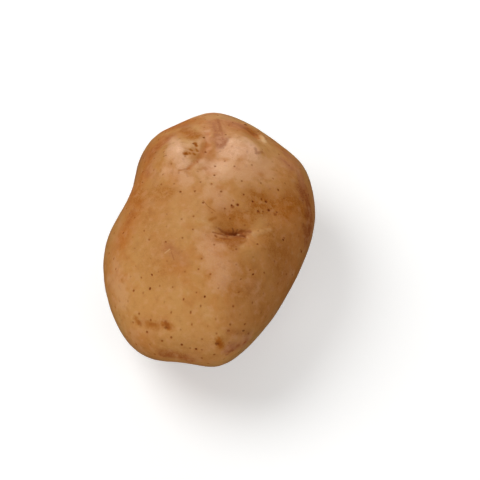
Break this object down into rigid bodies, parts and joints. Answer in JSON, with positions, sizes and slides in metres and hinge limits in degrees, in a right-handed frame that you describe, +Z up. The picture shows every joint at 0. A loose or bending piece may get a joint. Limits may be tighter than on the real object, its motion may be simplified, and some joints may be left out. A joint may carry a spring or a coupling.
{
  "type": "potato",
  "caption": "Whole table potato with thin tan skin, a hollowed eye and a knobbly rose end, lying on its broad side on a small flat spot.",
  "frame": {"origin": "on the surface it rests on, under the middle of the tuber's box", "axes": "+Y along the length towards the rose end, +Z up from the surface, +X to the right seen from the heel"},
  "size_m": [0.0758, 0.1074, 0.0607],
  "materials": {
    "skin": "thin tan potato skin with brown pores and pink-brown russet patches, satin"
  },
  "bodies": {
    "root": {"potato": "skin"}
  },
  "joints": []
}
